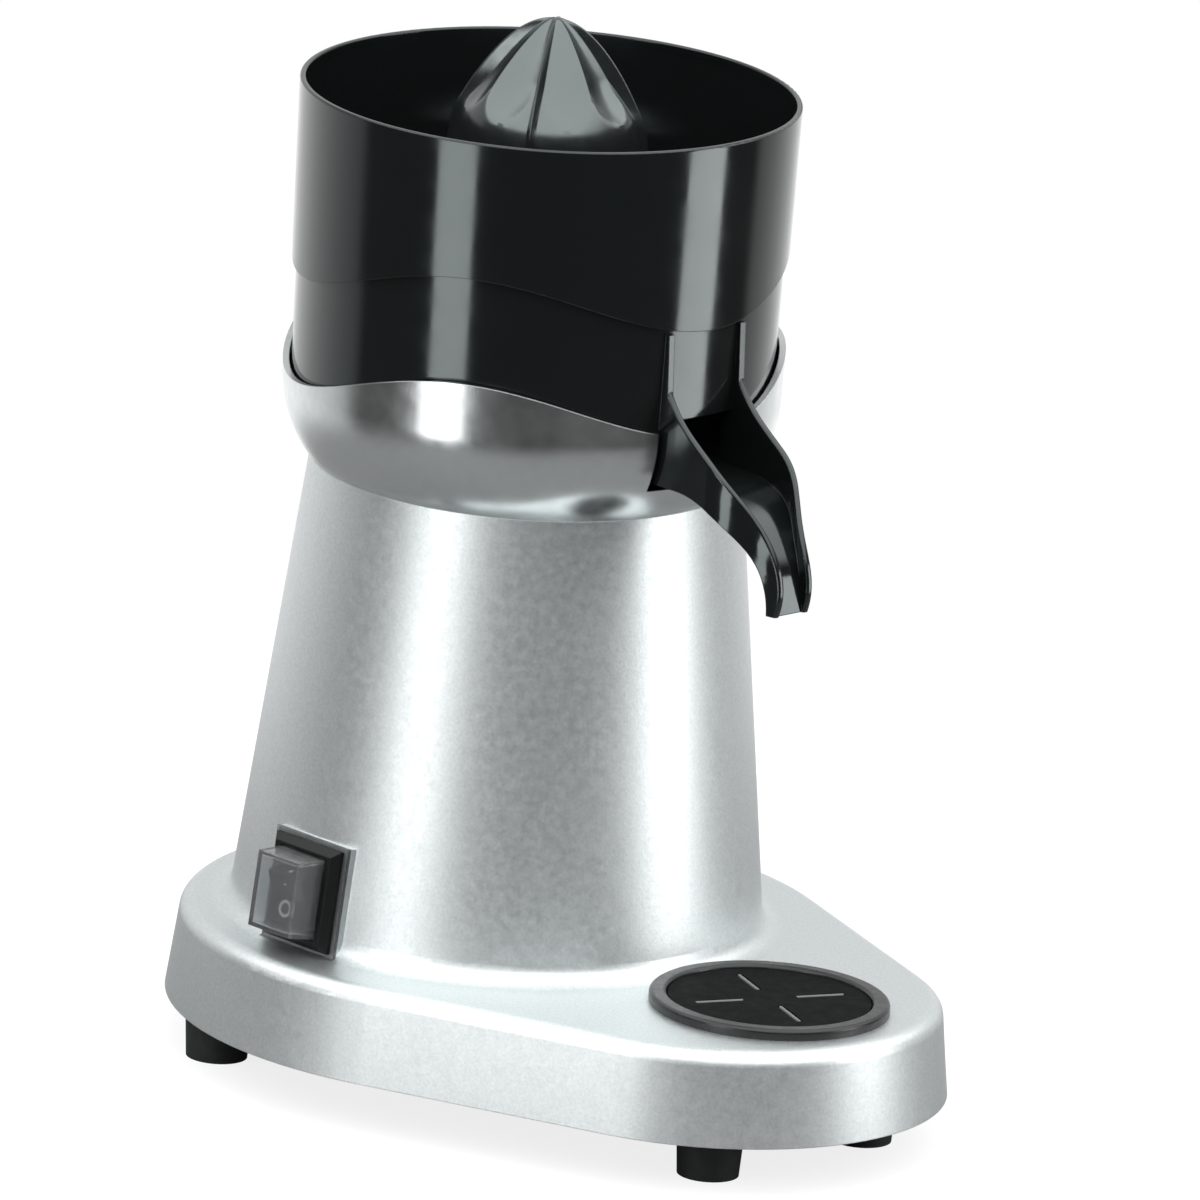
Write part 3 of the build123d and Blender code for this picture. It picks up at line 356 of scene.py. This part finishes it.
def coneQuarter():
    heights = []
    topShare = math.sqrt((cone["apex"] - cone["tip"]) / cone["fall"])
    endShare = math.sqrt((cone["apex"] - cone["shoulder"]) / cone["fall"])
    for k in range(cone["upperRows"]):
        share = topShare + (endShare - topShare) * k / (cone["upperRows"] - 1)
        heights.append(cone["apex"] - cone["fall"] * share * share)
    for k in range(1, cone["lowerRows"] + 1):
        heights.append(cone["shoulder"] + (cone["foot"] - cone["shoulder"]) * k / cone["lowerRows"])
    rows = [(z, coneRow(z)) for z in heights]
    last = rows[-1][1]
    for z, radius, even in coneFoot:
        rows.append((z, [(angle, r + (radius - r) * even) for angle, r in last]))
    count = len(last)
    points = [(0.0, 0.0, cone["apex"] * mm)]
    for z, row in rows:
        points += [(r * mm * math.cos(angle), r * mm * math.sin(angle), z * mm) for angle, r in row]
    points.append((0.0, 0.0, coneFoot[-1][0] * mm))
    faces = [(0, 1 + k, 2 + k) for k in range(count - 1)]
    for level in range(len(rows) - 1):
        start = 1 + level * count
        faces += [(start + k, start + count + k, start + count + k + 1, start + k + 1)
                  for k in range(count - 1)]
    start = 1 + (len(rows) - 1) * count
    faces += [(start + k, len(points) - 1, start + k + 1) for k in range(count - 1)]
    mesh = bpy.data.meshes.new("coneQuarter")
    mesh.from_pydata(points, [], faces)
    mesh.update()
    return mesh


def quarterTree():
    kinds = {"Quarter": "Geometry", "Count": "Int", "Turn": "Float", "Weld": "Float", "Place": "Vector",
             "Tilt": "Vector", "Finish": "Material"}
    tree, given = newTree("copiesAround", "Whole", kinds)
    weld = tree.nodes.new("GeometryNodeMergeByDistance")
    linkAll(tree, (copiesRound(tree, given, given["Quarter"]), weld.inputs["Geometry"]),
            (given["Weld"], weld.inputs["Distance"]))
    return paintTree(tree, given, weld.outputs["Geometry"])


ribbedCone = {
    "Count": cone["fins"], "Turn": math.radians(cone["turn"] - 90.0), "Weld": cone["weld"] * mm,
    "Place": (0.0, motorY, 0.0), "Tilt": (0.0, 0.0, 0.0), "Finish": made["reamerBlack"],
}
conePiece = bakeTree("ribbedCone", quarterTree(), ribbedCone, "reamer", coneQuarter())
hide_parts("reamer")
conePiece.data.polygons.foreach_set("use_smooth", [True] * len(conePiece.data.polygons))
conePiece.data.set_sharp_from_angle(angle=math.radians(cone["smoothAngle"]))
print("ribbed cone made")


# On and off marks on the key

marks = dict(
    node="switch_rocker", body="rocker", origin=(-76.534 * mm, motorY, 59.4 * mm), lean=6.415,
    rise=4.6 * mm, barLength=4.4 * mm, lineWidth=0.85 * mm, ringRadius=2.1 * mm, proud=0.12 * mm,
    sunk=0.2 * mm, steps=48, castFrom=40.0 * mm, slimShare=0.1)


def buildMarks():
    lean = math.radians(marks["lean"])
    out = Vector((-math.cos(lean), 0.0, math.sin(lean)))
    up = Vector((math.sin(lean), 0.0, math.cos(lean)))
    side = Vector((0.0, 1.0, 0.0))
    origin = Vector(marks["origin"])
    skin = nodes[marks["node"]].data
    tree = BVHTree.FromPolygons([v.co for v in skin.vertices], [p.vertices for p in skin.polygons])
    points, faces = [], []

    def onKey(across, rise, lift):
        start = origin + up * rise + side * across + out * marks["castFrom"]
        place = tree.ray_cast(start, -out)[0]
        points.append(place + out * lift)

    def addBand(outer, inner):
        # outer and inner edges, each at the top and sunk into the key
        first, count = len(points), len(outer)
        for loop, lift in ((outer, marks["proud"]), (inner, marks["proud"]), (inner, -marks["sunk"]),
                           (outer, -marks["sunk"])):
            for across, rise in loop:
                onKey(across, rise, lift)
        for level in range(4):
            below = (level + 1) % 4
            for k in range(count):
                after = (k + 1) % count
                faces.append((first + level * count + k, first + level * count + after,
                              first + below * count + after, first + below * count + k))

    half = marks["lineWidth"] / 2
    turns = [2 * math.pi * k / marks["steps"] for k in range(marks["steps"])]
    ring = [(math.cos(a), math.sin(a)) for a in turns]
    wide, narrow = marks["ringRadius"] + half, marks["ringRadius"] - half
    addBand([(wide * x, wide * y - marks["rise"]) for x, y in ring],
            [(narrow * x, narrow * y - marks["rise"]) for x, y in ring])
    reach = marks["barLength"] / 2 - half
    slim = half * marks["slimShare"]
    capsule = [(x, y, reach if y >= 0 else -reach) for x, y in ring]
    addBand([(half * x, half * y + shift + marks["rise"]) for x, y, shift in capsule],
            [(slim * x, slim * y + shift + marks["rise"]) for x, y, shift in capsule])
    mesh = bpy.data.meshes.new("switchMarks")
    mesh.from_pydata([tuple(p) for p in points], [], faces)
    mesh.update()
    mesh.materials.append(made["markWhite"])
    piece = bpy.data.objects.new("switchMarks", mesh)
    bpy.context.collection.objects.link(piece)
    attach(piece, marks["body"])


buildMarks()
print("switch marks made")


# Studio

floor = dict(
    radius=0.62, fadeStart=0.34, fadeEnd=0.6, tone=(0.2, 0.2, 0.2), lift=0.82, sides=96, roughness=0.9)
studio = dict(
    front=0.07, cameraWhite=1.0, turn=11.0, stepStart=-0.15, stepEnd=-0.3, step=0.55, slopeEnd=-0.85,
    slope=0.55, lowGain=1.1, highGain=0.75, lowZ=-0.3, highZ=-0.02, canopy=2.5, canopyLow=0.36,
    canopyHigh=0.52, canopyBack=-0.6, canopyFront=-0.35, aside=0.42, asideStart=-0.08, asideEnd=0.14,
    asideHigh=-0.29, asideLow=-0.46)
lights = {
    "leftStrip": dict(bearing=183.5, distance=1.05, height=0.15, size=(0.33, 0.62), radiance=4.8),
    "rightBox": dict(bearing=304.0, distance=1.2, height=0.15, size=(0.44, 0.66), radiance=5.6),
}
view = dict(
    focalPixels=20000, imagePixels=1200, azimuth=-45.0, elevation=15.602, roll=3.952, distance=5.83273,
    aside=0.024146, targetHeight=0.138039, sensor=36.0, farClip=50.0)


def buildFloor():
    bpy.ops.mesh.primitive_circle_add(vertices=floor["sides"], radius=floor["radius"], fill_type="NGON")
    disc = bpy.context.object
    disc.name = "floor"
    material = bpy.data.materials.new("floorPaper")
    material.use_nodes = True
    tree = material.node_tree
    shader = tree.nodes["Principled BSDF"]
    shader.inputs["Base Color"].default_value = (*floor["tone"], 1.0)
    shader.inputs["Roughness"].default_value = floor["roughness"]
    shader.inputs["Specular IOR Level"].default_value = 0.0
    shader.inputs["Emission Color"].default_value = (1.0, 1.0, 1.0, 1.0)
    path = nodeOf(tree, "ShaderNodeLightPath")
    lift = nodeOf(tree, "ShaderNodeMath", operation="MULTIPLY")
    lift.inputs[1].default_value = floor["lift"]
    tree.links.new(path.outputs["Is Camera Ray"], lift.inputs[0])
    tree.links.new(lift.outputs["Value"], shader.inputs["Emission Strength"])
    place = nodeOf(tree, "ShaderNodeTexCoord")
    length = nodeOf(tree, "ShaderNodeVectorMath", operation="LENGTH")
    fade = nodeOf(tree, "ShaderNodeMapRange", interpolation_type="SMOOTHSTEP")
    fade.inputs["From Min"].default_value = floor["fadeStart"]
    fade.inputs["From Max"].default_value = floor["fadeEnd"]
    clear = nodeOf(tree, "ShaderNodeBsdfTransparent")
    mix = nodeOf(tree, "ShaderNodeMixShader")
    tree.links.new(place.outputs["Object"], length.inputs[0])
    tree.links.new(length.outputs["Value"], fade.inputs["Value"])
    tree.links.new(fade.outputs["Result"], mix.inputs["Fac"])
    tree.links.new(shader.outputs["BSDF"], mix.inputs[1])
    tree.links.new(clear.outputs["BSDF"], mix.inputs[2])
    tree.links.new(mix.outputs["Shader"], tree.nodes["Material Output"].inputs["Surface"])
    disc.data.materials.append(material)


def rangeNode(tree, source, fromLow, fromHigh, toLow, toHigh, smooth):
    kind = "SMOOTHSTEP" if smooth else "LINEAR"
    node = nodeOf(tree, "ShaderNodeMapRange", interpolation_type=kind)
    ends = {"From Min": fromLow, "From Max": fromHigh, "To Min": toLow, "To Max": toHigh}
    for name, value in ends.items():
        node.inputs[name].default_value = value
    tree.links.new(source, node.inputs["Value"])
    return node.outputs["Result"]


def joinValues(tree, operation, first, second):
    node = nodeOf(tree, "ShaderNodeMath", operation=operation)
    tree.links.new(first, node.inputs[0])
    tree.links.new(second, node.inputs[1])
    return node.outputs["Value"]


def buildWorld():
    # white behind the object, a soft canopy above, dark in front with a low fill on the right,
    # and plain white where the camera looks straight at it
    world = bpy.data.worlds.new("studio")
    bpy.context.scene.world = world
    world.use_nodes = True
    tree = world.node_tree
    shader = tree.nodes["Background"]
    angle = math.radians(view["azimuth"] + studio["turn"])
    place = nodeOf(tree, "ShaderNodeTexCoord")
    toward = nodeOf(tree, "ShaderNodeVectorMath", operation="DOT_PRODUCT")
    toward.inputs[1].default_value = (math.sin(angle), -math.cos(angle), 0.0)
    split = nodeOf(tree, "ShaderNodeSeparateXYZ")
    tree.links.new(place.outputs["Generated"], toward.inputs[0])
    tree.links.new(place.outputs["Generated"], split.inputs["Vector"])
    facing = toward.outputs["Value"]
    height = split.outputs["Z"]
    step = rangeNode(tree, facing, studio["stepStart"], studio["stepEnd"],
                     studio["front"], studio["step"], True)
    slope = rangeNode(tree, facing, studio["stepEnd"], studio["slopeEnd"], 0.0, studio["slope"], False)
    gain = rangeNode(tree, height, studio["lowZ"], studio["highZ"],
                     studio["lowGain"], studio["highGain"], True)
    behind = joinValues(tree, "MULTIPLY", joinValues(tree, "ADD", step, slope), gain)
    rise = rangeNode(tree, height, studio["canopyLow"], studio["canopyHigh"], 0.0, studio["canopy"], True)
    front = rangeNode(tree, facing, studio["canopyBack"], studio["canopyFront"], 0.0, 1.0, True)
    canopy = joinValues(tree, "MULTIPLY", rise, front)
    across = nodeOf(tree, "ShaderNodeVectorMath", operation="DOT_PRODUCT")
    across.inputs[1].default_value = (math.cos(angle), math.sin(angle), 0.0)
    tree.links.new(place.outputs["Generated"], across.inputs[0])
    right = rangeNode(tree, across.outputs["Value"], studio["asideStart"], studio["asideEnd"],
                      0.0, studio["aside"], True)
    below = rangeNode(tree, height, studio["asideHigh"], studio["asideLow"], 0.0, 1.0, True)
    canopy = joinValues(tree, "MAXIMUM", canopy, joinValues(tree, "MULTIPLY", right, below))
    path = nodeOf(tree, "ShaderNodeLightPath")
    pick = nodeOf(tree, "ShaderNodeMix", data_type="FLOAT")
    pick.inputs["B"].default_value = studio["cameraWhite"]
    tree.links.new(path.outputs["Is Camera Ray"], pick.inputs["Factor"])
    tree.links.new(joinValues(tree, "MAXIMUM", behind, canopy), pick.inputs["A"])
    tree.links.new(pick.outputs["Result"], shader.inputs["Strength"])
    shader.inputs["Color"].default_value = (1.0, 1.0, 1.0, 1.0)


def buildLight(name, settings):
    lamp = bpy.data.lights.new(name, "AREA")
    lamp.shape = "RECTANGLE"
    lamp.size, lamp.size_y = settings["size"]
    lamp.energy = settings["radiance"] * math.pi * lamp.size * lamp.size_y
    holder = bpy.data.objects.new(name, lamp)
    bearing = math.radians(settings["bearing"])
    out = Vector((math.cos(bearing), math.sin(bearing), 0.0)) * settings["distance"]
    holder.location = out + Vector((0.0, 0.0, settings["height"]))
    aim = Vector((0.0, 0.0, settings["height"])) - holder.location  # the lights stand upright
    holder.rotation_euler = aim.to_track_quat("-Z", "Y").to_euler()
    bpy.context.collection.objects.link(holder)


def buildCamera():
    azimuth, elevation, roll = (math.radians(view[key]) for key in ("azimuth", "elevation", "roll"))
    back = Vector((math.sin(azimuth) * math.cos(elevation), -math.cos(azimuth) * math.cos(elevation),
                   math.sin(elevation)))
    right = Vector((math.cos(azimuth), math.sin(azimuth), 0.0))
    up = back.cross(right)
    across = right * math.cos(roll) + up * math.sin(roll)
    upright = up * math.cos(roll) - right * math.sin(roll)
    target = Vector((0.0, motorY, view["targetHeight"])) + right * view["aside"]
    data = bpy.data.cameras.new("camera")
    data.sensor_width = view["sensor"]
    data.lens = view["focalPixels"] / view["imagePixels"] * data.sensor_width
    data.clip_end = view["farClip"]
    camera = bpy.data.objects.new("camera", data)
    camera.matrix_world = Matrix((across, upright, back)).transposed().to_4x4()
    camera.location = target + back * view["distance"]
    bpy.context.collection.objects.link(camera)
    bpy.context.scene.camera = camera


buildFloor()
buildWorld()
for lightName, lightSettings in lights.items():
    buildLight(lightName, lightSettings)
buildCamera()
bpy.context.scene.view_settings.view_transform = "Standard"
print("studio built")
